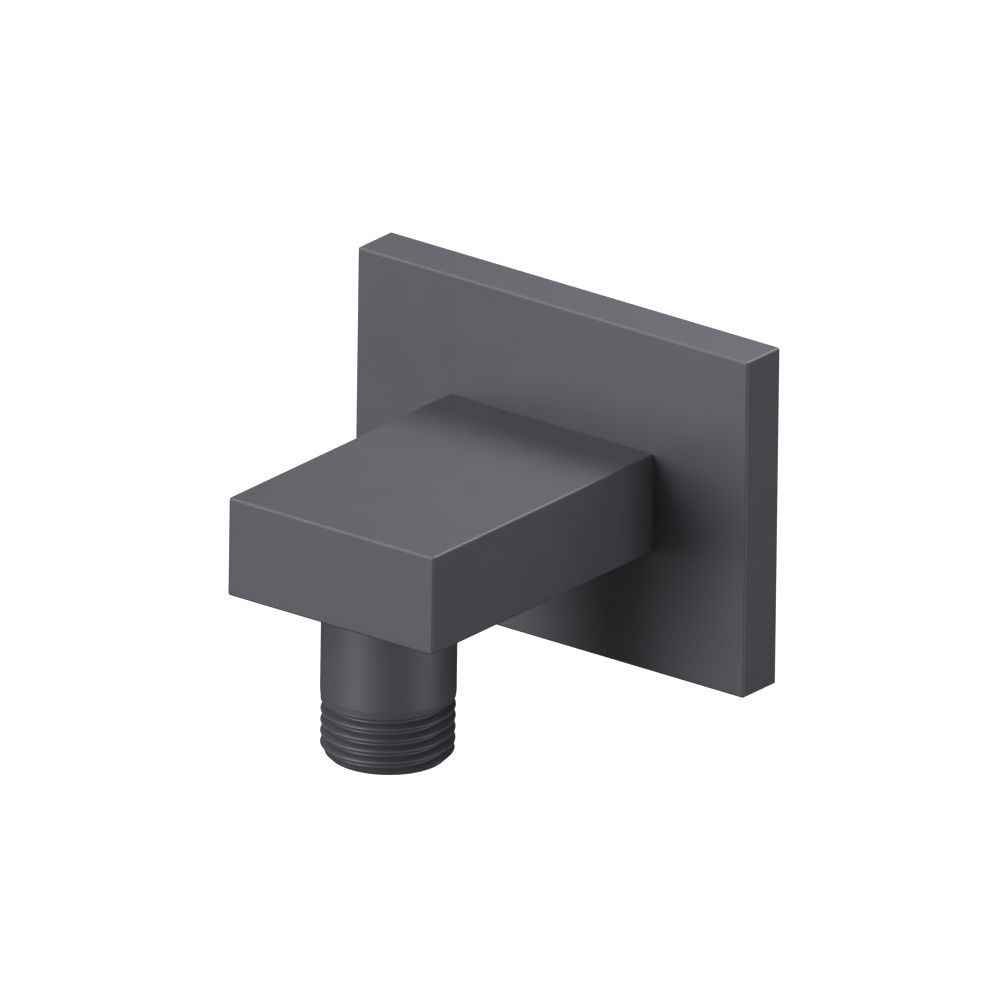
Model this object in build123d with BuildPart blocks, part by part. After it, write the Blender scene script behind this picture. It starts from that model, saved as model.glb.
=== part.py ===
from build123d import *
import math
import os

# A square wall outlet elbow for a hand shower, in millimetres.
# The origin is on the wall's surface, at the centre of the arm. X points right, Y into the wall, Z up.

os.makedirs("parts", exist_ok=True)

# Wall plate
plate_width = 75.0
plate_height = 55.2
plate_thickness = 8.0
plate_skin = 2.6
plate_rim = 1.6
plate_corner_radius = 1.5
pad_margin = 5.0
pad_height = 24.0
pad_thickness = 4.4
rib_thickness = 1.6
rib_drop = 3.0
edge_rounding = 0.4
edge_break = 0.3

# Foam seal in the plate's back
seal_width = 3.2
seal_thickness = 2.0

# Arm and waterway
arm_width = 39.4
arm_height = 16.1
arm_length = 55.0
waterway_diameter = 9.0
drill_tip_angle = 118.0

# Outlet below the arm
outlet_setback = 15.0
outlet_length = 25.6
shank_diameter = 20.9
outlet_crest_diameter = 20.7
outlet_thread_length = 9.75
outlet_thread_ease = 0.6
outlet_face_diameter = 18.0

# Nipple between the pipe in the wall and the arm
inlet_thread_diameter = 20.955
inlet_thread_reach = 14.0
inlet_thread_stand_out = 0.5
inlet_chamfer = 1.2
nipple_collar = 1.5
nipple_collar_diameter = 19.0
inlet_bore_diameter = 14.0
inlet_bore_depth = 14.0
spigot_diameter = 12.0
spigot_bore_diameter = 7.0
spigot_chamfer = 0.8
spigot_hole_diameter = 15.2
groove_depth = 1.2
ring_groove_width = 2.0
groove_land = 0.9
key_size = 8.0
key_depth = 7.0

# Screws
plate_screw_diameter = 4.0
plate_screw_length = 10.0
plate_screw_head_diameter = 7.0
plate_screw_head_height = 2.8
plate_screw_key = 2.5
plate_screw_key_depth = 1.7
grub_screw_diameter = 4.0
grub_screw_tip_diameter = 2.5
grub_screw_key = 2.0
grub_screw_key_depth = 1.4
grub_screw_sink = 0.2
grub_screw_inset = 4.0

# Non-return valve cartridge, measured upwards from the outlet's mouth
pocket_diameter = 14.0
collar_diameter = 15.4
collar_thickness = 1.2
housing_bore_diameter = 11.2
seat_bore_diameter = 8.4
guide_bore_diameter = 11.8
guide_base = 1.0
guide_height = 2.6
guide_ring_wall = 1.15
spoke_count = 3
spoke_thickness = 1.0
spoke_height = 1.8
hub_diameter = 4.2
hub_height = 4.5
stem_diameter = 2.4
stem_reach = 2.3
poppet_travel = 2.5
poppet_shoulder_diameter = 3.6
poppet_shoulder_height = 1.3
poppet_diameter = 9.0
poppet_rim = 1.0
poppet_neck_diameter = 6.6
poppet_cap_diameter = 7.4
poppet_cap_height = 1.2
poppet_cap_chamfer = 0.45
poppet_seal_section = 1.1
housing_groove_depth = 0.9
housing_groove_width = 1.6
housing_land = 0.7
housing_chamfer = 0.35
spring_wire = 0.44
spring_mean_diameter = 6.0
spring_turns = 5.0

# Share of a squeezed sealing ring's width that lies flat on its groove and on the wall around it
ring_flat_share = 0.6

# Fits, each the gap on one side
spigot_clearance = 0.05
thread_clearance = 0.03
ring_clearance = 0.02
ring_side_gap = 0.04
screw_hole_clearance = 0.2
screw_head_gap = 0.4
seal_clearance = 0.1
pocket_clearance = 0.1
collar_clearance = 0.1
guide_clearance = 0.05
stem_clearance = 0.1
seat_gap = 0.1
stop_gap = 0.1
spring_end_gap = 0.02
end_clearance = 0.3

# Places that follow from the sizes
arm_rear_y = -plate_thickness
arm_front_y = arm_rear_y - arm_length
outlet_y = arm_front_y + outlet_setback
arm_underside_z = -arm_height / 2
mouth_z = arm_underside_z - outlet_length
axis_height = arm_height / 2 + outlet_length
outlet_axis = Axis((0, outlet_y, 0), (0, 0, 1))
plate_screw_spacing = inlet_thread_diameter + plate_screw_head_diameter + 2 * screw_head_gap
pad_width = plate_screw_spacing + plate_screw_head_diameter + 2 * pad_margin

# Sketch planes: the outlet's half section, whose second coordinate is the height above the mouth,
# and the nipple's half section, whose second coordinate is Y.
outlet_section = Plane(origin=(0, outlet_y, mouth_z), x_dir=(1, 0, 0), z_dir=(0, -1, 0))
nipple_section = Plane.XY


def drill_tip(radius):
    """Height of a drilled hole's cone."""
    return radius / math.tan(math.radians(drill_tip_angle / 2))


def squeezed_ring(groove_radius, wall_radius, station, groove_width, plane, axis):
    """A sealing ring squeezed between its groove and the wall around it: two flats joined by bulging sides."""
    inner = groove_radius + ring_clearance
    outer = wall_radius - ring_clearance
    half_width = groove_width / 2 - ring_side_gap
    half_flat = ring_flat_share * half_width
    with BuildPart() as ring:
        with BuildSketch(plane):
            with BuildLine():
                Polyline(
                    (inner, station - half_flat),
                    ((inner + outer) / 2, station - half_width),
                    (outer, station - half_flat),
                    (outer, station + half_flat),
                    ((inner + outer) / 2, station + half_width),
                    (inner, station + half_flat),
                    close=True,
                )
            make_face()
        revolve(axis=axis)
    return ring.part


def save(part, label):
    """Labels a finished piece and writes it."""
    part.label = label
    export_step(part, f"parts/{label}.step")


# Stations along the spigot, measured from the arm's rear face
lock_groove_width = grub_screw_tip_diameter + 2 * screw_hole_clearance
rear_ring_station = grub_screw_inset + lock_groove_width / 2 + groove_land + ring_groove_width / 2
front_ring_station = rear_ring_station + ring_groove_width + groove_land
spigot_insertion = front_ring_station + ring_groove_width / 2 + groove_land + key_depth
grub_y = arm_rear_y - grub_screw_inset
spigot_nose_y = arm_rear_y - spigot_insertion
spigot_radius = spigot_diameter / 2
spigot_groove_radius = spigot_radius - groove_depth
socket_radius = spigot_radius + spigot_clearance
socket_end_y = spigot_nose_y - end_clearance

# Stations in the cartridge, measured upwards from the mouth
pocket_radius = pocket_diameter / 2
housing_radius = pocket_radius - pocket_clearance
housing_groove_radius = housing_radius - housing_groove_depth
guide_ledge = guide_base + guide_height
spoke_top = guide_base + spoke_height
hub_top = guide_base + hub_height
poppet_shoulder_base = hub_top + poppet_travel + stop_gap
poppet_base = poppet_shoulder_base + poppet_shoulder_height
poppet_neck_base = poppet_base + poppet_rim
poppet_neck_height = poppet_seal_section + 2 * ring_clearance
poppet_cap_base = poppet_neck_base + poppet_neck_height
poppet_seal_radius = (poppet_neck_diameter + poppet_seal_section) / 2 + ring_clearance
poppet_seal_station = poppet_neck_base + poppet_neck_height / 2
seat_line = poppet_seal_radius + poppet_seal_station + math.sqrt(2) * (poppet_seal_section / 2 + seat_gap)
seat_base = seat_line - housing_bore_diameter / 2
seat_top = seat_line - seat_bore_diameter / 2
housing_groove_base = seat_top + housing_land
housing_height = housing_groove_base + housing_groove_width + housing_land
pocket_depth = housing_height + end_clearance

# Wall plate: a casting with a ledge for the seal, a clamping pad behind the arm, and four ribs
ledge_width = plate_width - 2 * plate_rim
ledge_height = plate_height - 2 * plate_rim
hollow_width = ledge_width - 2 * seal_width
hollow_height = ledge_height - 2 * seal_width
skin_back = plate_thickness - plate_skin
pad_back = plate_thickness - pad_thickness

with BuildPart() as wall_plate:
    with BuildSketch(Plane.XZ):
        RectangleRounded(plate_width, plate_height, edge_rounding)
    extrude(amount=plate_thickness)
    chamfer(wall_plate.faces().sort_by(Axis.Y)[0].edges(), length=edge_break)
    with BuildSketch(Plane.XZ):
        RectangleRounded(ledge_width, ledge_height, plate_corner_radius)
    extrude(amount=seal_thickness, mode=Mode.SUBTRACT)
    with BuildSketch(Plane.XZ):
        RectangleRounded(hollow_width, hollow_height, plate_corner_radius)
    extrude(amount=rib_drop, mode=Mode.SUBTRACT)
    with BuildSketch(Plane.XZ):
        RectangleRounded(pad_width, pad_height, plate_corner_radius)
    extrude(amount=pad_back, mode=Mode.SUBTRACT)
    with BuildSketch(Plane.XZ) as pockets:
        Rectangle(hollow_width, hollow_height)
        Rectangle(pad_width, pad_height, mode=Mode.SUBTRACT)
        Rectangle(hollow_width, rib_thickness, mode=Mode.SUBTRACT)
        Rectangle(rib_thickness, hollow_height, mode=Mode.SUBTRACT)
        fillet(pockets.vertices(), radius=plate_corner_radius)
    extrude(amount=skin_back, mode=Mode.SUBTRACT)
    with BuildSketch(Plane.XZ):
        Circle(spigot_hole_diameter / 2)
        with GridLocations(plate_screw_spacing, 0, 2, 1):
            Circle(plate_screw_diameter / 2 + screw_hole_clearance)
    extrude(amount=plate_thickness, mode=Mode.SUBTRACT)
save(wall_plate.part, "wall_plate")

# Foam seal: a frame on the plate's ledge, pressed flush with the rim by the wall
seal_outer_width = ledge_width - 2 * seal_clearance
seal_outer_height = ledge_height - 2 * seal_clearance
with BuildPart() as wall_seal:
    with BuildSketch(Plane.XZ):
        RectangleRounded(seal_outer_width, seal_outer_height, plate_corner_radius)
        RectangleRounded(hollow_width, hollow_height, plate_corner_radius, mode=Mode.SUBTRACT)
    extrude(amount=seal_thickness)
save(wall_seal.part, "wall_seal")

# Arm and outlet in one piece
outlet_chamfer = (outlet_crest_diameter - outlet_face_diameter) / 2
counterbore_radius = collar_diameter / 2 + collar_clearance
waterway_radius = waterway_diameter / 2
arm_rear = Plane(origin=(0, arm_rear_y, 0), x_dir=(-1, 0, 0), z_dir=(0, 1, 0))
arm_underside = Plane(origin=(0, grub_y, arm_underside_z), x_dir=(1, 0, 0), z_dir=(0, 0, -1))
tapped_depth = plate_screw_length - pad_thickness + plate_screw_diameter / 2

with BuildPart() as elbow_body:
    with BuildSketch(Plane.XZ.offset(plate_thickness)):
        RectangleRounded(arm_width, arm_height, edge_rounding)
    extrude(amount=arm_length)
    chamfer(elbow_body.faces().sort_by(Axis.Y)[0].edges(), length=edge_break)
    with BuildSketch(outlet_section):
        with BuildLine():
            Polyline(
                (0, 0),
                (outlet_face_diameter / 2, 0),
                (outlet_crest_diameter / 2, outlet_chamfer),
                (outlet_crest_diameter / 2, outlet_thread_length),
                (shank_diameter / 2, outlet_thread_length + outlet_thread_ease),
                (shank_diameter / 2, axis_height),
                (0, axis_height),
                close=True,
            )
        make_face()
    revolve(axis=outlet_axis)
    # Outlet bore: the collar's counterbore, the cartridge's pocket and the drilled waterway
    with BuildSketch(outlet_section):
        with BuildLine():
            Polyline(
                (0, 0),
                (counterbore_radius, 0),
                (counterbore_radius, collar_thickness),
                (pocket_radius, collar_thickness),
                (pocket_radius, pocket_depth),
                (waterway_radius, pocket_depth),
                (waterway_radius, axis_height),
                (0, axis_height + drill_tip(waterway_radius)),
                close=True,
            )
        make_face()
    revolve(axis=outlet_axis, mode=Mode.SUBTRACT)
    # Inlet bore: the spigot's socket with its lead-in, and the waterway to the outlet
    with BuildSketch(nipple_section):
        with BuildLine():
            Polyline(
                (0, arm_rear_y),
                (socket_radius + spigot_chamfer, arm_rear_y),
                (socket_radius, arm_rear_y - spigot_chamfer),
                (socket_radius, socket_end_y),
                (waterway_radius, socket_end_y),
                (waterway_radius, outlet_y),
                (0, outlet_y - drill_tip(waterway_radius)),
                close=True,
            )
        make_face()
    revolve(axis=Axis.Y, mode=Mode.SUBTRACT)
    with Locations(arm_rear):
        with GridLocations(plate_screw_spacing, 0, 2, 1):
            Hole(plate_screw_diameter / 2 + thread_clearance, depth=tapped_depth)
    with Locations(arm_underside):
        Hole(grub_screw_diameter / 2 + thread_clearance, depth=arm_height / 2)
save(elbow_body.part, "elbow_body")

# Wall nipple: a threaded end for the pipe in the wall and a grooved spigot with a key socket in its nose
inlet_step_y = inlet_thread_reach - inlet_bore_depth
with BuildPart() as wall_nipple:
    with BuildSketch(nipple_section):
        with BuildLine():
            Polyline(
                (spigot_bore_diameter / 2, spigot_nose_y),
                (spigot_radius - spigot_chamfer, spigot_nose_y),
                (spigot_radius, spigot_nose_y + spigot_chamfer),
                (spigot_radius, -inlet_thread_stand_out - nipple_collar),
                (nipple_collar_diameter / 2, -inlet_thread_stand_out - nipple_collar),
                (nipple_collar_diameter / 2, -inlet_thread_stand_out),
                (inlet_thread_diameter / 2, -inlet_thread_stand_out),
                (inlet_thread_diameter / 2, inlet_thread_reach - inlet_chamfer),
                (inlet_thread_diameter / 2 - inlet_chamfer, inlet_thread_reach),
                (inlet_bore_diameter / 2, inlet_thread_reach),
                (inlet_bore_diameter / 2, inlet_step_y),
                (spigot_bore_diameter / 2, inlet_step_y),
                close=True,
            )
        make_face()
    revolve(axis=Axis.Y)
    with BuildSketch(nipple_section):
        with Locations((spigot_radius, grub_y)):
            Rectangle(2 * groove_depth, lock_groove_width)
        with Locations(
            (spigot_radius, arm_rear_y - rear_ring_station),
            (spigot_radius, arm_rear_y - front_ring_station),
        ):
            Rectangle(2 * groove_depth, ring_groove_width)
    revolve(axis=Axis.Y, mode=Mode.SUBTRACT)
    with BuildSketch(Plane.XZ.offset(-spigot_nose_y)):
        RegularPolygon(key_size / 2, 6, major_radius=False)
    extrude(amount=-key_depth, mode=Mode.SUBTRACT)
save(wall_nipple.part, "wall_nipple")

# The two sealing rings on the spigot
ring_stations = {"nipple_o_ring_rear": rear_ring_station, "nipple_o_ring_front": front_ring_station}
for label, ring_station in ring_stations.items():
    ring = squeezed_ring(
        spigot_groove_radius,
        socket_radius,
        arm_rear_y - ring_station,
        ring_groove_width,
        nipple_section,
        Axis.Y,
    )
    save(ring, label)

# Plate screws: low heads on the clamping pad, shanks in the arm
for label, side in (("plate_screw_left", -1), ("plate_screw_right", 1)):
    head_seat = Plane(origin=(side * plate_screw_spacing / 2, -pad_back, 0), x_dir=(1, 0, 0), z_dir=(0, 1, 0))
    with BuildPart() as plate_screw:
        with BuildSketch(head_seat):
            Circle(plate_screw_head_diameter / 2)
        extrude(amount=plate_screw_head_height)
        chamfer(plate_screw.edges().sort_by(Axis.Y)[-1], length=edge_break)
        with BuildSketch(head_seat):
            Circle(plate_screw_diameter / 2)
        extrude(amount=-plate_screw_length)
        with BuildSketch(head_seat.offset(plate_screw_head_height)):
            RegularPolygon(plate_screw_key / 2, 6, major_radius=False)
        extrude(amount=-plate_screw_key_depth, mode=Mode.SUBTRACT)
    save(plate_screw.part, label)

# Grub screw: its dog point stands in the spigot's locking groove
grub_tip_length = groove_depth + spigot_clearance - ring_clearance
grub_tip_z = -spigot_groove_radius - ring_clearance
grub_head_z = arm_underside_z + grub_screw_sink
with BuildPart() as grub_screw:
    with BuildSketch(Plane(origin=(0, grub_y, grub_head_z))):
        Circle(grub_screw_diameter / 2)
    extrude(amount=grub_tip_z - grub_tip_length - grub_head_z)
    with BuildSketch(Plane(origin=(0, grub_y, grub_head_z))):
        Circle(grub_screw_tip_diameter / 2)
    extrude(amount=grub_tip_z - grub_head_z)
    with BuildSketch(Plane(origin=(0, grub_y, grub_head_z))):
        RegularPolygon(grub_screw_key / 2, 6, major_radius=False)
    extrude(amount=grub_screw_key_depth, mode=Mode.SUBTRACT)
save(grub_screw.part, "grub_screw")

# Cartridge housing: collar at the mouth, seat cone inside, ring groove outside
with BuildPart() as valve_housing:
    with BuildSketch(outlet_section):
        with BuildLine():
            Polyline(
                (guide_bore_diameter / 2, 0),
                (collar_diameter / 2, 0),
                (collar_diameter / 2, collar_thickness),
                (housing_radius, collar_thickness),
                (housing_radius, housing_groove_base),
                (housing_groove_radius, housing_groove_base),
                (housing_groove_radius, housing_groove_base + housing_groove_width),
                (housing_radius, housing_groove_base + housing_groove_width),
                (housing_radius, housing_height - housing_chamfer),
                (housing_radius - housing_chamfer, housing_height),
                (seat_bore_diameter / 2, housing_height),
                (seat_bore_diameter / 2, seat_top),
                (housing_bore_diameter / 2, seat_base),
                (housing_bore_diameter / 2, guide_ledge),
                (guide_bore_diameter / 2, guide_ledge),
                close=True,
            )
        make_face()
    revolve(axis=outlet_axis)
save(valve_housing.part, "valve_housing")

# The ring between the housing and the outlet's pocket
housing_ring = squeezed_ring(
    housing_groove_radius,
    pocket_radius,
    housing_groove_base + housing_groove_width / 2,
    housing_groove_width,
    outlet_section,
    outlet_axis,
)
save(housing_ring, "housing_o_ring")

# Guide: a ring, spokes and a hub for the stem
guide_radius = guide_bore_diameter / 2 - guide_clearance
with BuildPart() as valve_guide:
    with BuildSketch(Plane(origin=(0, outlet_y, mouth_z + guide_base))):
        Circle(guide_radius)
        Circle(guide_radius - guide_ring_wall, mode=Mode.SUBTRACT)
    extrude(amount=guide_height)
    with BuildSketch(Plane(origin=(0, outlet_y, mouth_z + guide_base))):
        with PolarLocations(guide_radius / 2, spoke_count):
            Rectangle(guide_radius - guide_ring_wall, spoke_thickness)
    extrude(amount=spoke_height)
    with BuildSketch(Plane(origin=(0, outlet_y, mouth_z + guide_base))):
        Circle(hub_diameter / 2)
    extrude(amount=hub_height)
    with BuildSketch(Plane(origin=(0, outlet_y, mouth_z + guide_base))):
        Circle(stem_diameter / 2 + stem_clearance)
    extrude(amount=hub_height, mode=Mode.SUBTRACT)
save(valve_guide.part, "valve_guide")

# Poppet: stem, stop shoulder, rim, neck for its seal, and a cap
poppet_cap_top = poppet_cap_base + poppet_cap_height
with BuildPart() as valve_poppet:
    with BuildSketch(outlet_section):
        with BuildLine():
            Polyline(
                (0, hub_top - stem_reach),
                (stem_diameter / 2, hub_top - stem_reach),
                (stem_diameter / 2, poppet_shoulder_base),
                (poppet_shoulder_diameter / 2, poppet_shoulder_base),
                (poppet_shoulder_diameter / 2, poppet_base),
                (poppet_diameter / 2, poppet_base),
                (poppet_diameter / 2, poppet_neck_base),
                (poppet_neck_diameter / 2, poppet_neck_base),
                (poppet_neck_diameter / 2, poppet_cap_base),
                (poppet_cap_diameter / 2, poppet_cap_base),
                (poppet_cap_diameter / 2, poppet_cap_top - poppet_cap_chamfer),
                (poppet_cap_diameter / 2 - poppet_cap_chamfer, poppet_cap_top),
                (0, poppet_cap_top),
                close=True,
            )
        make_face()
    revolve(axis=outlet_axis)
save(valve_poppet.part, "valve_poppet")

with BuildPart() as poppet_seal:
    with BuildSketch(outlet_section):
        with Locations((poppet_seal_radius, poppet_seal_station)):
            RegularPolygon(poppet_seal_section / 2, 8, major_radius=False, rotation=22.5)
    revolve(axis=outlet_axis)
save(poppet_seal.part, "poppet_seal")

# Spring: from the spokes to the poppet's rim, with its ends ground flat
spring_length = poppet_base - spoke_top - 2 * spring_end_gap
spring_base = Plane(origin=(0, outlet_y, mouth_z + spoke_top + spring_end_gap))
with BuildPart() as valve_spring:
    with BuildLine(spring_base):
        coil = Helix(spring_length / spring_turns, spring_length, spring_mean_diameter / 2)
    with BuildSketch(Plane(origin=coil @ 0, z_dir=coil % 0)):
        RegularPolygon(spring_wire / 2, 6)
    sweep(path=coil, is_frenet=True)
    with BuildSketch(spring_base):
        Circle(spring_mean_diameter)
    extrude(amount=spring_length, mode=Mode.INTERSECT)
save(valve_spring.part, "valve_spring")
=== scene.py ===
import math

import bmesh
import bpy
import numpy as np
from mathutils import Matrix, Vector


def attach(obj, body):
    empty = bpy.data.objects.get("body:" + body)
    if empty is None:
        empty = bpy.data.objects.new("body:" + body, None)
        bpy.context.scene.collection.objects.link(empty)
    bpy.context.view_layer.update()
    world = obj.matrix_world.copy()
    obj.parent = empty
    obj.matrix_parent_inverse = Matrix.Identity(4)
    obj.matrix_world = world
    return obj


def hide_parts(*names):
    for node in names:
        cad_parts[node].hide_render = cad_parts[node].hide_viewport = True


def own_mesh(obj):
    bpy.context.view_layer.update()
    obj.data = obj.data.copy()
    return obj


# Looks of the wall outlet elbow: coated brass outside, bare brass, plastic and rubber inside.
# Shapes are worked out in millimetres in the frame of the CAD model, and scaled to metres as meshes.

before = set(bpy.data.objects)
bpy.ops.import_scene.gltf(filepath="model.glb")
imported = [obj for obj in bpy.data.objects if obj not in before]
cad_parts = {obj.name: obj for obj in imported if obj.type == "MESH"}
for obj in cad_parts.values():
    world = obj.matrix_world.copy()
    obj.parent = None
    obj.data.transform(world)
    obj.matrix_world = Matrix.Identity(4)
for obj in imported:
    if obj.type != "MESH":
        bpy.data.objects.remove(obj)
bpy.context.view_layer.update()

MM = 0.001

# Wall plate
plate_width = 75.0
plate_height = 55.2
plate_thickness = 8.0
plate_skin = 2.6
plate_rim = 1.6
plate_corner_radius = 1.5
pad_width = 45.755
pad_height = 24.0
pad_back = 3.6
rib_thickness = 1.6
rib_drop = 3.0
seal_width = 3.2
seal_thickness = 2.0
spigot_hole_diameter = 15.2
plate_screw_spacing = 28.755
plate_screw_hole = 4.4

# Arm
arm_width = 39.4
arm_height = 16.1
arm_front_y = -63.0
arm_rear_y = -plate_thickness
tapped_hole_diameter = 4.06
tapped_depth = 7.6
grub_y = -12.0

# Outlet, with heights measured from the arm's centre line
outlet_y = -48.0
mouth_z = -33.65
shank_radius = 10.45
crest_radius = 10.35
face_radius = 9.0
thread_ease_z = -23.9
shank_start_z = -22.95
stub_end_z = -20.0
counterbore_radius = 7.8
counterbore_top_z = -32.45
pocket_radius = 7.0
pocket_top_z = -18.791
waterway_radius = 4.5
drill_tip = 2.704

# Inlet
socket_radius = 6.05
socket_lead = 0.8
socket_end_y = -27.45

# G1/2 thread
pitch = 1.814
thread_depth = 1.1616
flank_angle = math.radians(27.5)
root_rounding = 0.2491
groove_height_at_zero = -26.43
outlet_runout = (math.radians(510), math.radians(420))
thread_top_z = -22.9

# Nipple, along Y
nipple_radius = 10.4775
nipple_end_y = 14.0
nipple_chamfer = 1.2
nipple_thread_start_y = -0.5
nipple_runout = (math.radians(100), math.radians(190))
nipple_collar_radius = 9.5
nipple_collar_y = -2.0
nipple_bore_radius = 7.0
nipple_step_y = 0.0
spigot_radius = 6.0
spigot_bore_radius = 3.5
spigot_groove_radius = 4.8
spigot_nose_y = -27.15
spigot_chamfer = 0.8
lock_groove = (-10.55, -13.45)
rear_ring_groove = (-14.35, -16.35)
front_ring_groove = (-17.25, -19.25)
key_size = 8.0
key_depth = 7.0

# Valve cartridge in the outlet
housing_radius = 6.9
housing_nose_rounding = 0.35
housing_collar_radius = 7.7
housing_collar_top_z = -32.45
housing_groove_radius = 6.0
housing_groove = (-21.391, -19.791)
housing_top_z = -19.091
housing_bore_radius = 5.6
guide_bore_radius = 5.9
guide_ledge_z = -30.05
seat_base_z = -23.491
seat_top_z = -22.091
seat_radius = 4.2
poppet_stem_z = -30.45
poppet_stem_radius = 1.2
poppet_shoulder_z = -25.55
poppet_shoulder_radius = 1.8
poppet_base_z = -24.25
poppet_radius = 4.5
poppet_neck_z = -23.25
poppet_neck_radius = 3.3
poppet_cap_z = -22.11
poppet_cap_radius = 3.7
poppet_top_z = -20.91
poppet_cap_rounding = 0.5
stem_rounding = 0.3
poppet_seal_radius = 3.87
poppet_seal_z = -22.68
poppet_seal_section = 1.1
ring_across = 1.21
spigot_ring_along = 1.92
housing_ring_across = 0.96
housing_ring_along = 1.52
spring_base_z = -30.83
spring_top_z = -24.27
spring_wire = 0.44
spring_radius = 3.0
spring_turns = 5.0
spring_end_ease = 0.05

# Edge roundings
edge_rounding = 0.4
small_rounding = 0.12
guide_rounding = 0.08
screw_rounding = 0.08
grub_rounding = 0.05
foam_rounding = 0.15
round_profile = 0.5

# How finely round forms are divided, and the angles in degrees from which an edge counts
arc_steps = 4
small_arc_steps = 2
columns = 180
fine_columns = 120
hole_columns = 60
rows_per_pitch = 36
ring_steps = 20
wire_columns = 12
wire_steps_per_turn = 48
sharp_angle = 35
wire_sharp_angle = 60
flat_angle = 0.5

# Small distances: points that are one, how far a cutter stands out, and a margin beside a face
merge_distance = 0.0004
cut_over = 1.0
face_break = 0.04

# The range that most of a noise pattern's values lie in
pattern_low = 0.3
pattern_high = 0.7

# Sizes that follow from the others
ledge_width = plate_width - 2 * plate_rim
ledge_height = plate_height - 2 * plate_rim
hollow_width = ledge_width - 2 * seal_width
hollow_height = ledge_height - 2 * seal_width

# Stage and light: heights in millimetres, and sizes across and distances in metres
floor_z = -250.0
floor_size = 6.0
floor_grey = 0.8
card_z = -240.0
card_size = 2.6
card_grey = 0.06
stage_roughness = 0.9
glow_reach = (0.12, 0.22)
glow_levels = (0.35, 1.0)
ambient_level = 0.1
lamp_target_y = -30.0
lamp_spread = 0.45

# Camera: where the photo looks from, and how much of the part's surroundings it takes in
view_azimuth = 37.296
view_elevation = 21.817
view_roll = 0.768
view_width = 152.39
view_centre = (-12.550, -6.414)
view_distance = 500.0

outlet_axis = Matrix.Translation((0, outlet_y, 0))
inlet_axis = Matrix.Rotation(math.radians(-90), 4, "X")


# Mesh helpers

def solid(vertices, faces):
    """A closed mesh in millimetres with its normals facing out."""
    bm = bmesh.new()
    made = [bm.verts.new(v) for v in vertices]
    for face in faces:
        bm.faces.new([made[i] for i in face])
    bmesh.ops.remove_doubles(bm, verts=bm.verts, dist=merge_distance)
    bmesh.ops.dissolve_degenerate(bm, edges=bm.edges, dist=merge_distance / 10)
    bmesh.ops.recalc_face_normals(bm, faces=bm.faces)
    return bm


def softened(outline):
    """Rounds the corners of a closed outline of (radius, height, rounding) points."""
    points = []
    for index, (r, h, rounding) in enumerate(outline):
        corner = Vector((r, h))
        if rounding == 0:
            points.append((r, h))
            continue
        before = (Vector(outline[index - 1][:2]) - corner).normalized()
        after = (Vector(outline[(index + 1) % len(outline)][:2]) - corner).normalized()
        half = before.angle(after) / 2
        centre = corner + (before + after).normalized() * rounding / math.sin(half)
        start = corner + before * rounding / math.tan(half) - centre
        turn = start.angle_signed(corner + after * rounding / math.tan(half) - centre)
        for step in range(arc_steps + 1):
            spoke = start.copy()
            spoke.rotate(Matrix.Rotation(-turn * step / arc_steps, 2))
            points.append(tuple(centre + spoke))
    return points


def ring_points(radius, height, count=columns):
    """One row of points round the axis."""
    turns = np.arange(count) * 2 * math.pi / count
    return np.column_stack((radius * np.cos(turns), radius * np.sin(turns), np.full(count, height)))


def grid_faces(rows, count=columns, first=0, shift=0):
    """Quads between rows of points. A helix comes back to its first column shift rows higher."""
    faces = []
    for row in range(rows - 1):
        for column in range(count):
            lift = shift if column == count - 1 else 0
            if row + lift + 1 >= rows:
                continue
            here = first + row * count + column
            beside = first + (row + lift) * count + (column + 1) % count
            faces.append((here, beside, beside + count, here + count))
    return faces


def turned(outline, count=columns):
    """A solid turned about Z from a closed outline of (radius, height, rounding) points."""
    points = softened(outline)
    rows = [ring_points(r, h, count) for r, h in points]
    rows.append(rows[0])
    return solid(np.concatenate(rows), grid_faces(len(rows), count))


def thread_cut(offset):
    """Depth of a Whitworth groove below its crest, at a distance along the axis from its middle."""
    away = np.abs(offset)
    arc_end = root_rounding * math.cos(flank_angle)
    root = thread_depth - root_rounding + np.sqrt(np.maximum(root_rounding**2 - away**2, 0))
    crest = root_rounding - np.sqrt(np.maximum(root_rounding**2 - (pitch / 2 - away) ** 2, 0))
    flank = thread_depth / 2 - (away - pitch / 4) / math.tan(flank_angle)
    return np.select([away < arc_end, away > pitch / 2 - arc_end], [root, crest], flank)


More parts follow.
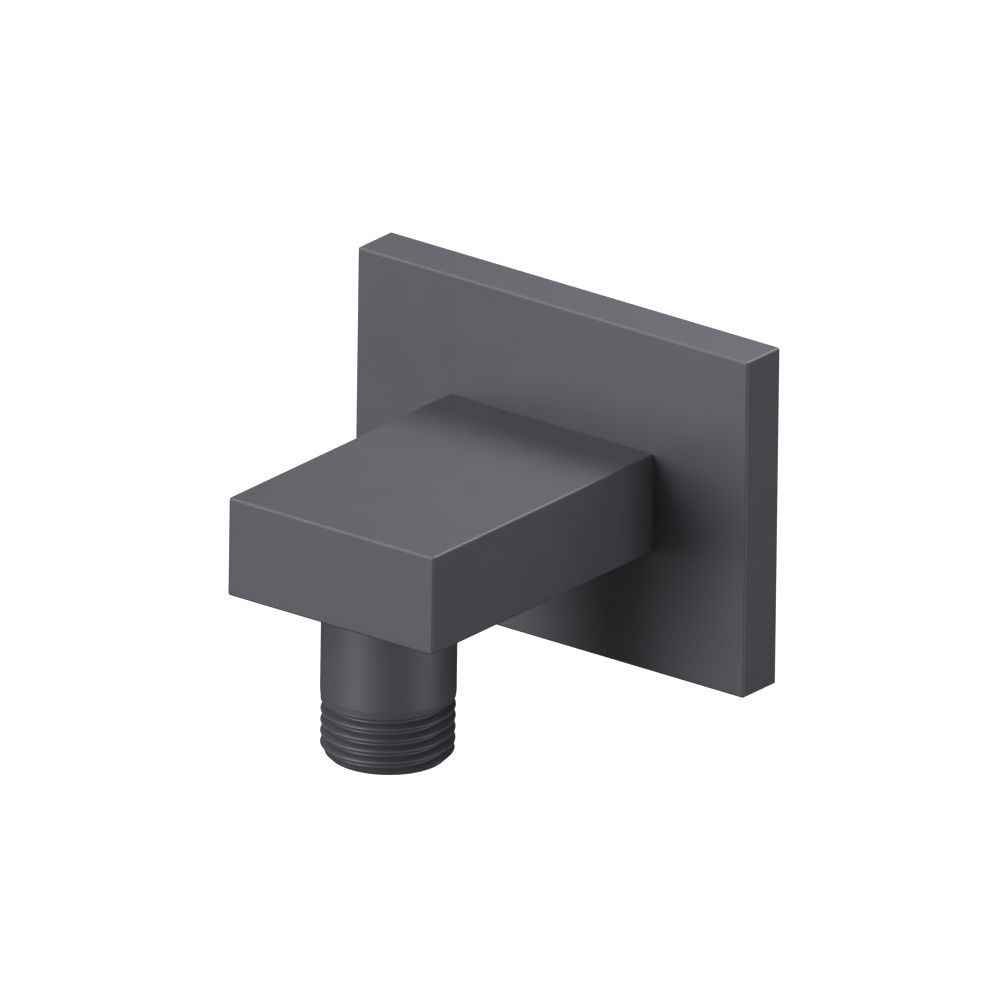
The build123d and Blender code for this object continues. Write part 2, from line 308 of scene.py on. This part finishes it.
def threaded_tube(low, high, blank, groove_zero, runout, inner):
    """A turned solid with a right-handed thread from low to high.

    blank gives the radius of the uncut form and of its end chamfer. runout is the pair of angles along the
    helix where the groove is gone and where it is full. inner is the rest of the outline, from the high end
    of the thread back to its low end.
    """
    first_turn = math.floor((low - groove_zero) / pitch) - 2
    last_turn = math.ceil((high - groove_zero) / pitch) + 2
    angle = np.arange(columns) * 2 * math.pi / columns
    rows = []
    for turn in range(first_turn, last_turn + 1):
        along = angle + 2 * math.pi * turn
        fade = np.clip((along - runout[0]) / (runout[1] - runout[0]), 0, 1)
        fade = fade * fade * (3 - 2 * fade)
        middle = groove_zero + pitch * along / (2 * math.pi)
        for step in range(rows_per_pitch):
            offset = (step / rows_per_pitch - 0.5) * pitch
            height = np.clip(middle + offset, low, high)
            uncut, skin = blank(height)
            cut = thread_cut(np.clip(height - middle, -pitch / 2, pitch / 2))
            radius = np.minimum(skin, uncut - fade * cut)
            rows.append(np.column_stack((radius * np.cos(angle), radius * np.sin(angle), height)))
    thread_rows = len(rows)
    faces = grid_faces(thread_rows, shift=rows_per_pitch)
    points = softened(inner)
    rows.append(ring_points(min(blank(np.array(high))), high))
    rows += [ring_points(r, h) for r, h in points]
    rows.append(ring_points(min(blank(np.array(low))), low))
    faces += grid_faces(len(rows) - thread_rows, first=thread_rows * columns)
    return solid(np.concatenate(rows), faces)


def corners_of(width, height):
    """Corner points of a rectangle about the origin."""
    x = width / 2
    z = height / 2
    return [(x, z), (-x, z), (-x, -z), (x, -z)]


def prism(outline, start_y, end_y):
    """A solid with an (x, z) outline between two places along Y."""
    count = len(outline)
    vertices = [(x, start_y, z) for x, z in outline] + [(x, end_y, z) for x, z in outline]
    faces = [tuple(range(count)), tuple(range(count, 2 * count))]
    faces += [(i, (i + 1) % count, (i + 1) % count + count, i + count) for i in range(count)]
    return solid(vertices, faces)


def block(width, height, front_y, rear_y, rounding):
    """A box about the Y axis whose front edges and long edges are rounded, with a sharp rear."""
    bm = prism(corners_of(width, height), front_y, rear_y)
    edges = [e for e in bm.edges if min(v.co.y for v in e.verts) < front_y + rounding]
    bmesh.ops.bevel(
        bm, geom=edges, offset=rounding, segments=arc_steps, profile=round_profile, affect="EDGES")
    return bm


def hexagon(across_flats):
    """Corner points of a hexagon."""
    radius = across_flats / math.sqrt(3)
    turns = [math.radians(60 * corner) for corner in range(6)]
    return [(radius * math.cos(turn), radius * math.sin(turn)) for turn in turns]


def scratch_object(bm):
    """A temporary object in millimetres, for the boolean modifier."""
    mesh = bpy.data.meshes.new("scratch")
    bm.to_mesh(mesh)
    bm.free()
    obj = bpy.data.objects.new("scratch", mesh)
    bpy.context.scene.collection.objects.link(obj)
    return obj


def combined(body, tools, operation):
    """The body with the tools cut away (DIFFERENCE) or joined on (UNION)."""
    base = scratch_object(body)
    helpers = [scratch_object(tool) for tool in tools]
    for helper in helpers:
        modifier = base.modifiers.new("combine", "BOOLEAN")
        modifier.object = helper
        modifier.operation = operation
        modifier.solver = "EXACT"
    evaluated = base.evaluated_get(bpy.context.evaluated_depsgraph_get())
    bm = bmesh.new()
    bm.from_mesh(evaluated.to_mesh())
    evaluated.to_mesh_clear()
    for obj in [base] + helpers:
        mesh = obj.data
        bpy.data.objects.remove(obj)
        bpy.data.meshes.remove(mesh)
    return bm


def piece(name, bm, body, materials, replaced, sharp=sharp_angle):
    """Turns a finished solid into an object of the scene that rides on a body of the CAD model."""
    bm.transform(Matrix.Scale(MM, 4))
    mesh = bpy.data.meshes.new(name)
    bm.to_mesh(mesh)
    bm.free()
    mesh.shade_smooth()
    mesh.set_sharp_from_angle(angle=math.radians(sharp))
    for material in materials:
        mesh.materials.append(material)
    obj = bpy.data.objects.new(name, mesh)
    bpy.context.scene.collection.objects.link(obj)
    weighted = obj.modifiers.new("even_normals", "WEIGHTED_NORMAL")
    weighted.keep_sharp = True
    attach(obj, body)
    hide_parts(replaced)
    return obj


# Materials

def node_material(name):
    """A new node material with its shader and object coordinates."""
    material = bpy.data.materials.new(name)
    material.use_nodes = True
    shader = material.node_tree.nodes["Principled BSDF"]
    place = material.node_tree.nodes.new("ShaderNodeTexCoord")
    return material, shader, place


def noise(material, place, size, detail):
    """A noise pattern whose grains are about size metres across."""
    node = material.node_tree.nodes.new("ShaderNodeTexNoise")
    node.inputs["Scale"].default_value = 1 / size
    node.inputs["Detail"].default_value = detail
    material.node_tree.links.new(place.outputs["Object"], node.inputs["Vector"])
    return node


def vary(material, pattern, socket, low, high):
    """Drives a number of the shader from a pattern, between two values."""
    node = material.node_tree.nodes.new("ShaderNodeMapRange")
    node.inputs["From Min"].default_value = pattern_low
    node.inputs["From Max"].default_value = pattern_high
    node.inputs["To Min"].default_value = low
    node.inputs["To Max"].default_value = high
    material.node_tree.links.new(pattern.outputs["Fac"], node.inputs["Value"])
    material.node_tree.links.new(node.outputs["Result"], socket)


def tint(material, pattern, shader, low, high):
    """Drives the colour of the shader from a pattern, between two colours."""
    node = material.node_tree.nodes.new("ShaderNodeValToRGB")
    node.color_ramp.elements[0].position = pattern_low
    node.color_ramp.elements[0].color = (*low, 1)
    node.color_ramp.elements[1].position = pattern_high
    node.color_ramp.elements[1].color = (*high, 1)
    material.node_tree.links.new(pattern.outputs["Fac"], node.inputs["Fac"])
    material.node_tree.links.new(node.outputs["Color"], shader.inputs["Base Color"])


def bump(material, pattern, shader, height):
    """Raises the surface by a pattern, by height metres at most."""
    node = material.node_tree.nodes.new("ShaderNodeBump")
    node.inputs["Distance"].default_value = height
    material.node_tree.links.new(pattern.outputs["Fac"], node.inputs["Height"])
    material.node_tree.links.new(node.outputs["Normal"], shader.inputs["Normal"])


def surface(name, low, high, metallic, roughness, cloud, grain, height):
    """A material with a cloudy colour, a varying roughness and a fine bump."""
    material, shader, place = node_material(name)
    shader.inputs["Metallic"].default_value = metallic
    tint(material, noise(material, place, cloud, 4.0), shader, low, high)
    fine = noise(material, place, grain, 3.0)
    vary(material, fine, shader.inputs["Roughness"], roughness[0], roughness[1])
    bump(material, fine, shader, height)
    return material


coat = surface(
    "anthracite_coat", (0.118, 0.115, 0.133), (0.126, 0.123, 0.141), metallic=0.3,
    roughness=(0.43, 0.48), cloud=0.008, grain=0.00025, height=1e-6)
brass = surface(
    "bare_brass", (0.74, 0.53, 0.24), (0.82, 0.61, 0.30), metallic=1.0,
    roughness=(0.26, 0.36), cloud=0.004, grain=0.0001, height=2e-6)
screw_steel = surface(
    "screw_steel", (0.50, 0.50, 0.51), (0.58, 0.58, 0.59), metallic=1.0,
    roughness=(0.28, 0.38), cloud=0.002, grain=0.0001, height=1e-6)
spring_steel = surface(
    "spring_steel", (0.58, 0.58, 0.59), (0.66, 0.66, 0.67), metallic=1.0,
    roughness=(0.18, 0.26), cloud=0.002, grain=0.00005, height=5e-7)
rubber = surface(
    "black_rubber", (0.017, 0.017, 0.018), (0.024, 0.024, 0.025), metallic=0.0,
    roughness=(0.42, 0.55), cloud=0.002, grain=0.0001, height=2e-6)
foam = surface(
    "grey_foam", (0.065, 0.065, 0.07), (0.095, 0.095, 0.10), metallic=0.0,
    roughness=(0.85, 0.95), cloud=0.001, grain=0.0003, height=6e-5)
white_acetal = surface(
    "white_acetal", (0.72, 0.72, 0.69), (0.78, 0.78, 0.75), metallic=0.0,
    roughness=(0.34, 0.42), cloud=0.003, grain=0.0001, height=2e-6)
blue_acetal = surface(
    "blue_acetal", (0.07, 0.20, 0.47), (0.09, 0.24, 0.53), metallic=0.0,
    roughness=(0.34, 0.42), cloud=0.003, grain=0.0001, height=2e-6)


# Pieces

def bore(radius, low, high, count=hole_columns):
    """A plain cutter between two heights."""
    return turned([(0, low, 0), (radius, low, 0), (radius, high, 0), (0, high, 0)], count)


def along_inlet(bm, x=0):
    """Turns a solid made about Z onto the inlet's axis, x to the side."""
    bm.transform(Matrix.Translation((x, 0, 0)) @ inlet_axis)
    return bm


def at_outlet(bm):
    """Moves a solid made about Z onto the outlet's axis."""
    bm.transform(outlet_axis)
    return bm


def rounded_rectangle(width, height):
    """Outline of a rectangle with the plate's inner corner radius."""
    return softened([(x, z, plate_corner_radius) for x, z in corners_of(width, height)])


def corner_pocket(side, level):
    """One of the four pockets between the rim, the ribs and the clamping pad."""
    rib = rib_thickness / 2
    pad_x = pad_width / 2
    pad_z = pad_height / 2
    far_x = hollow_width / 2
    far_z = hollow_height / 2
    corners = [(rib, pad_z), (pad_x, pad_z), (pad_x, rib), (far_x, rib), (far_x, far_z), (rib, far_z)]
    outline = softened([(x, z, plate_corner_radius) for x, z in corners])
    return [(side * x, level * z) for x, z in outline]


def make_plate():
    """The wall plate with its hollow back."""
    through = (-plate_thickness - cut_over, cut_over)
    cuts = [
        prism(rounded_rectangle(ledge_width, ledge_height), -seal_thickness, cut_over),
        prism(rounded_rectangle(hollow_width, hollow_height), -rib_drop, cut_over),
        prism(rounded_rectangle(pad_width + face_break, pad_height + face_break), -pad_back, cut_over),
        along_inlet(bore(spigot_hole_diameter / 2, *through, fine_columns)),
    ]
    for side in (-1, 1):
        screw_hole = bore(plate_screw_hole / 2, *through)
        cuts.append(along_inlet(screw_hole, side * plate_screw_spacing / 2))
        for level in (-1, 1):
            cuts.append(prism(corner_pocket(side, level), plate_skin - plate_thickness, cut_over))
    blank = block(plate_width, plate_height, -plate_thickness, 0, edge_rounding)
    bm = combined(blank, cuts, "DIFFERENCE")
    piece("wall_plate_coated", bm, "elbow", [coat], "wall_plate")


def outlet_blank(height):
    """Radius of the outlet before its thread is cut, and of the 45 degree chamfer at its mouth."""
    shank = np.interp(height, [thread_ease_z, shank_start_z], [crest_radius, shank_radius])
    return shank, face_radius + height - mouth_z


def make_outlet():
    """The threaded end of the outlet, from the stub down."""
    inner = [
        (shank_radius, stub_end_z, 0),
        (pocket_radius, stub_end_z, 0),
        (pocket_radius, counterbore_top_z, 0),
        (counterbore_radius, counterbore_top_z, 0),
        (counterbore_radius, mouth_z, small_rounding),
        (face_radius - face_break, mouth_z, 0),
    ]
    low = mouth_z + face_break
    return threaded_tube(low, thread_top_z, outlet_blank, groove_height_at_zero, outlet_runout, inner)


def welded(upper, lower, height):
    """Joins two solids that meet in the same ring of points at a height."""
    mesh = bpy.data.meshes.new("scratch")
    lower.to_mesh(mesh)
    lower.free()
    upper.from_mesh(mesh)
    bpy.data.meshes.remove(mesh)
    inside = [f for f in upper.faces if all(abs(v.co.z - height) < merge_distance for v in f.verts)]
    bmesh.ops.delete(upper, geom=inside, context="FACES")
    bmesh.ops.remove_doubles(upper, verts=upper.verts, dist=merge_distance)
    return upper


def is_inside(place):
    """Whether a place on the elbow lies in a bore, where the coat leaves the brass bare."""
    from_outlet = math.hypot(place.x, place.y - outlet_y)
    from_inlet = math.hypot(place.x, place.z)
    above_mouth = mouth_z + small_rounding < place.z < drill_tip + face_break
    behind_tip = outlet_y - drill_tip < place.y < arm_rear_y - face_break
    in_outlet = above_mouth and from_outlet < counterbore_radius + face_break
    in_socket = behind_tip and from_inlet < socket_radius + socket_lead
    return in_outlet or in_socket


def make_elbow():
    """Arm and threaded outlet with the waterways, the cartridge's pocket and the screw holes."""
    arm = block(arm_width, arm_height, arm_front_y, arm_rear_y, edge_rounding)
    stub = at_outlet(bore(shank_radius, stub_end_z, 0, columns))
    pocket = [
        (0, stub_end_z - cut_over, 0),
        (pocket_radius, stub_end_z - cut_over, 0),
        (pocket_radius, pocket_top_z, 0),
        (waterway_radius, pocket_top_z, 0),
        (waterway_radius, 0, 0),
        (0, drill_tip, 0),
    ]
    socket = [
        (0, arm_rear_y + cut_over, 0),
        (socket_radius + socket_lead + cut_over, arm_rear_y + cut_over, 0),
        (socket_radius, arm_rear_y - socket_lead, 0),
        (socket_radius, socket_end_y, 0),
        (waterway_radius, socket_end_y, 0),
        (waterway_radius, outlet_y, 0),
        (0, outlet_y - drill_tip, 0),
    ]
    grub_hole = bore(tapped_hole_diameter / 2, -arm_height / 2 - cut_over, 0)
    grub_hole.transform(Matrix.Translation((0, grub_y, 0)))
    cuts = [along_inlet(turned(socket, fine_columns)), grub_hole]
    for side in (-1, 1):
        tapped = bore(tapped_hole_diameter / 2, arm_rear_y - tapped_depth, arm_rear_y + cut_over)
        cuts.append(along_inlet(tapped, side * plate_screw_spacing / 2))
    cuts.append(at_outlet(turned(pocket)))
    bm = combined(combined(arm, [stub], "UNION"), cuts, "DIFFERENCE")
    bm = welded(bm, at_outlet(make_outlet()), stub_end_z)
    obj = piece("elbow_coated", bm, "elbow", [coat, brass], "elbow_body")
    for face in obj.data.polygons:
        face.material_index = int(is_inside(face.center / MM))


def nipple_blank(height):
    """Radius of the nipple before its thread is cut, and of the chamfer at its wall end."""
    return np.full_like(height, nipple_radius), nipple_radius - nipple_chamfer + nipple_end_y - height


def make_nipple():
    """The wall nipple: male thread, grooved spigot and a key socket in its nose."""
    outline = [
        (nipple_bore_radius, nipple_end_y, small_rounding),
        (nipple_bore_radius, nipple_step_y, 0),
        (spigot_bore_radius, nipple_step_y, small_rounding),
        (spigot_bore_radius, spigot_nose_y, 0),
        (spigot_radius - spigot_chamfer, spigot_nose_y, 0),
        (spigot_radius, spigot_nose_y + spigot_chamfer, small_rounding),
    ]
    for front, rear in (front_ring_groove, rear_ring_groove, lock_groove):
        outline += [
            (spigot_radius, front, small_rounding),
            (spigot_groove_radius, front, small_rounding),
            (spigot_groove_radius, rear, small_rounding),
            (spigot_radius, rear, small_rounding),
        ]
    outline += [
        (spigot_radius, nipple_collar_y, small_rounding),
        (nipple_collar_radius, nipple_collar_y, small_rounding),
        (nipple_collar_radius, nipple_thread_start_y, 0),
    ]
    tube = threaded_tube(nipple_thread_start_y, nipple_end_y, nipple_blank, 0, nipple_runout, outline)
    key = prism(hexagon(key_size), spigot_nose_y - cut_over, spigot_nose_y + key_depth)
    bm = combined(along_inlet(tube), [key], "DIFFERENCE")
    piece("wall_nipple_turned", bm, "elbow", [brass], "wall_nipple")


def oval_ring(radius, height, across, along):
    """A sealing ring with an oval section."""
    outline = []
    for step in range(ring_steps):
        angle = 2 * math.pi * step / ring_steps
        outline.append((radius + across / 2 * math.cos(angle), height + along / 2 * math.sin(angle), 0))
    return turned(outline, fine_columns)


def make_rings():
    """The three squeezed sealing rings and the poppet's seal."""
    spigot_ring = (spigot_groove_radius + socket_radius) / 2
    grooves = {"nipple_o_ring_front": front_ring_groove, "nipple_o_ring_rear": rear_ring_groove}
    for name, groove in grooves.items():
        ring = oval_ring(spigot_ring, sum(groove) / 2, ring_across, spigot_ring_along)
        piece(name + "_round", along_inlet(ring), "elbow", [rubber], name)
    pocket_ring = (housing_groove_radius + pocket_radius) / 2
    ring = oval_ring(pocket_ring, sum(housing_groove) / 2, housing_ring_across, housing_ring_along)
    piece("housing_o_ring_round", at_outlet(ring), "elbow", [rubber], "housing_o_ring")
    seal = oval_ring(poppet_seal_radius, poppet_seal_z, poppet_seal_section, poppet_seal_section)
    piece("poppet_seal_round", at_outlet(seal), "poppet", [rubber], "poppet_seal")


def make_housing():
    """The cartridge's housing with its collar, ring groove and seat."""
    low, high = housing_groove
    outline = [
        (guide_bore_radius, mouth_z, small_rounding),
        (housing_collar_radius, mouth_z, small_rounding),
        (housing_collar_radius, housing_collar_top_z, small_rounding),
        (housing_radius, housing_collar_top_z, 0),
        (housing_radius, low, small_rounding),
        (housing_groove_radius, low, small_rounding),
        (housing_groove_radius, high, small_rounding),
        (housing_radius, high, small_rounding),
        (housing_radius, housing_top_z, housing_nose_rounding),
        (seat_radius, housing_top_z, small_rounding),
        (seat_radius, seat_top_z, small_rounding),
        (housing_bore_radius, seat_base_z, small_rounding),
        (housing_bore_radius, guide_ledge_z, 0),
        (guide_bore_radius, guide_ledge_z, 0),
    ]
    bm = at_outlet(turned(outline, fine_columns))
    piece("valve_housing_moulded", bm, "elbow", [white_acetal], "valve_housing")


def make_poppet():
    """The valve's moving body, turned about the outlet's axis."""
    outline = [
        (0, poppet_stem_z, 0),
        (poppet_stem_radius, poppet_stem_z, stem_rounding),
        (poppet_stem_radius, poppet_shoulder_z, 0),
        (poppet_shoulder_radius, poppet_shoulder_z, small_rounding),
        (poppet_shoulder_radius, poppet_base_z, 0),
        (poppet_radius, poppet_base_z, small_rounding),
        (poppet_radius, poppet_neck_z, small_rounding),
        (poppet_neck_radius, poppet_neck_z, small_rounding),
        (poppet_neck_radius, poppet_cap_z, small_rounding),
        (poppet_cap_radius, poppet_cap_z, small_rounding),
        (poppet_cap_radius, poppet_top_z, poppet_cap_rounding),
        (0, poppet_top_z, 0),
    ]
    bm = at_outlet(turned(outline, fine_columns))
    piece("valve_poppet_moulded", bm, "poppet", [blue_acetal], "valve_poppet")


def make_spring():
    """The valve's spring: its end turns lie closer, as on a wound spring with ground ends."""
    steps = int(spring_turns * wire_steps_per_turn)
    rows = []
    for step in range(steps + 1):
        share = step / steps
        angle = 2 * math.pi * spring_turns * share
        eased = share - spring_end_ease * math.sin(2 * math.pi * share)
        height = spring_base_z + spring_wire / 2 + (spring_top_z - spring_base_z - spring_wire) * eased
        outward = np.array((math.cos(angle), math.sin(angle), 0))
        section = np.arange(wire_columns) * 2 * math.pi / wire_columns
        across = outward * (spring_radius + spring_wire / 2 * np.cos(section))[:, None]
        rows.append(across + np.array((0, 0, 1)) * (height + spring_wire / 2 * np.sin(section))[:, None])
    faces = grid_faces(len(rows), wire_columns)
    faces.append(tuple(range(wire_columns)))
    faces.append(tuple(steps * wire_columns + i for i in range(wire_columns)))
    bm = at_outlet(solid(np.concatenate(rows), faces))
    spring = piece(
        "valve_spring_wound", bm, "elbow", [spring_steel], "valve_spring", wire_sharp_angle)
    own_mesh(spring)


def make_dressed(node, material, rounding):
    """A copy of a CAD node with its edges rounded, to stand for it."""
    bm = bmesh.new()
    bm.from_mesh(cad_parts[node].data)
    bm.transform(Matrix.Scale(1 / MM, 4))
    bmesh.ops.remove_doubles(bm, verts=bm.verts, dist=merge_distance)
    bmesh.ops.dissolve_limit(bm, angle_limit=math.radians(flat_angle), verts=bm.verts, edges=bm.edges)
    least = math.radians(sharp_angle)
    edges = [e for e in bm.edges if len(e.link_faces) == 2 and e.calc_face_angle() > least]
    bmesh.ops.bevel(
        bm, geom=edges, offset=rounding, segments=small_arc_steps, profile=round_profile,
        affect="EDGES", clamp_overlap=True)
    piece(node + "_dressed", bm, "elbow", [material], node)


make_plate()
make_elbow()
make_nipple()
make_rings()
make_housing()
make_poppet()
make_spring()
make_dressed("valve_guide", white_acetal, guide_rounding)
make_dressed("plate_screw_left", screw_steel, screw_rounding)
make_dressed("plate_screw_right", screw_steel, screw_rounding)
make_dressed("grub_screw", screw_steel, grub_rounding)
make_dressed("wall_seal", foam, foam_rounding)


# Floor, light and camera

def stage_square(name, size, height):
    """A level square of the stage."""
    bpy.ops.mesh.primitive_plane_add(size=size, location=(0, 0, height * MM))
    square = bpy.context.object
    square.name = name
    return square


def seen_directly(nodes, links):
    """1 for camera, glossy and transmission rays, and 0 for the rest."""
    path = nodes.new("ShaderNodeLightPath")
    first = nodes.new("ShaderNodeMath")
    first.operation = "MAXIMUM"
    links.new(path.outputs["Is Camera Ray"], first.inputs[0])
    links.new(path.outputs["Is Glossy Ray"], first.inputs[1])
    second = nodes.new("ShaderNodeMath")
    second.operation = "MAXIMUM"
    links.new(first.outputs[0], second.inputs[0])
    links.new(path.outputs["Is Transmission Ray"], second.inputs[1])
    return second.outputs[0]


def add_glow(material, shader, place):
    """Lifts the floor to white for camera, glossy and transmission rays, away from the part's shadow."""
    nodes = material.node_tree.nodes
    links = material.node_tree.links
    away = nodes.new("ShaderNodeVectorMath")
    away.operation = "LENGTH"
    links.new(place.outputs["Object"], away.inputs[0])
    level = nodes.new("ShaderNodeMapRange")
    level.interpolation_type = "SMOOTHSTEP"
    level.inputs["From Min"].default_value = glow_reach[0]
    level.inputs["From Max"].default_value = glow_reach[1]
    level.inputs["To Min"].default_value = glow_levels[0]
    level.inputs["To Max"].default_value = glow_levels[1]
    links.new(away.outputs["Value"], level.inputs["Value"])
    amount = nodes.new("ShaderNodeMath")
    amount.operation = "MULTIPLY"
    links.new(seen_directly(nodes, links), amount.inputs[0])
    links.new(level.outputs["Result"], amount.inputs[1])
    glow = nodes.new("ShaderNodeEmission")
    links.new(amount.outputs[0], glow.inputs["Strength"])
    both = nodes.new("ShaderNodeAddShader")
    links.new(shader.outputs[0], both.inputs[0])
    links.new(glow.outputs[0], both.inputs[1])
    links.new(both.outputs[0], nodes["Material Output"].inputs["Surface"])


def make_floor():
    """A pale floor below the part, with a glow of its own so that it shows as white."""
    floor = stage_square("floor", floor_size, floor_z)
    material, shader, place = node_material("pale_floor")
    shader.inputs["Base Color"].default_value = (floor_grey, floor_grey, floor_grey, 1)
    shader.inputs["Roughness"].default_value = stage_roughness
    floor.data.materials.append(material)
    add_glow(material, shader, place)
    material.cycles.emission_sampling = "NONE"


def make_card():
    """A dark card over the floor, out of the camera's sight, so that little light comes up from below."""
    card = stage_square("dark_card", card_size, card_z)
    material, shader, place = node_material("dark_card")
    shader.inputs["Base Color"].default_value = (card_grey, card_grey, card_grey, 1)
    shader.inputs["Roughness"].default_value = stage_roughness
    card.data.materials.append(material)
    card.visible_camera = False
    card.visible_shadow = False


def make_world():
    """A low plain level of light from all round."""
    world = bpy.data.worlds.new("studio")
    bpy.context.scene.world = world
    world.use_nodes = True
    background = world.node_tree.nodes["Background"]
    background.inputs["Color"].default_value = (1, 1, 1, 1)
    background.inputs["Strength"].default_value = ambient_level


def direction(azimuth, elevation):
    """The way from the part to a place round it: azimuth 0 is in front of it, 90 to its right."""
    turn = math.radians(azimuth)
    rise = math.radians(elevation)
    return Vector((math.sin(turn) * math.cos(rise), -math.cos(turn) * math.cos(rise), math.sin(rise)))


def make_lamp(name, azimuth, elevation, distance, light):
    """A round soft lamp that faces the part. light is how bright it makes a white surface facing it."""
    data = bpy.data.lights.new(name, "AREA")
    data.shape = "DISK"
    data.size = lamp_spread * distance
    data.energy = light * (math.pi * distance) ** 2
    lamp = bpy.data.objects.new(name, data)
    bpy.context.scene.collection.objects.link(lamp)
    away = direction(azimuth, elevation)
    lamp.location = Vector((0, lamp_target_y * MM, 0)) + away * distance
    lamp.rotation_euler = away.to_track_quat("Z", "Y").to_euler()


def make_camera():
    """Parallel projection at the photo's angle: the tripod turned, tipped down and rolled a little."""
    azimuth = math.radians(view_azimuth)
    roll = math.radians(view_roll)
    back = direction(view_azimuth, view_elevation)
    level = Vector((math.cos(azimuth), math.sin(azimuth), 0))
    lift = back.cross(level)
    right = level * math.cos(roll) + lift * math.sin(roll)
    up = lift * math.cos(roll) - level * math.sin(roll)
    data = bpy.data.cameras.new("photo_camera")
    data.type = "ORTHO"
    data.ortho_scale = view_width * MM
    camera = bpy.data.objects.new("photo_camera", data)
    bpy.context.scene.collection.objects.link(camera)
    place = (right * view_centre[0] + up * view_centre[1] + back * view_distance) * MM
    camera.matrix_world = Matrix.Translation(place) @ Matrix((right, up, back)).transposed().to_4x4()
    bpy.context.scene.camera = camera


make_floor()
make_card()
make_world()
make_lamp("front_left_softbox", azimuth=-20, elevation=4, distance=1.0, light=0.40)
make_lamp("front_softbox", azimuth=-10, elevation=4, distance=1.0, light=0.19)
make_lamp("left_softbox", azimuth=-43, elevation=40, distance=1.0, light=0.20)
make_lamp("left_top_softbox", azimuth=-63, elevation=60, distance=1.0, light=0.28)
make_lamp("back_top_softbox", azimuth=190, elevation=60, distance=0.45, light=0.51)
make_lamp("back_right_softbox", azimuth=147, elevation=45, distance=0.30, light=0.38)
make_lamp("low_right_fill", azimuth=104, elevation=-9, distance=0.45, light=0.17)
make_lamp("low_front_fill", azimuth=82, elevation=-9, distance=0.45, light=0.08)
make_camera()

bpy.context.scene.view_settings.view_transform = "Standard"
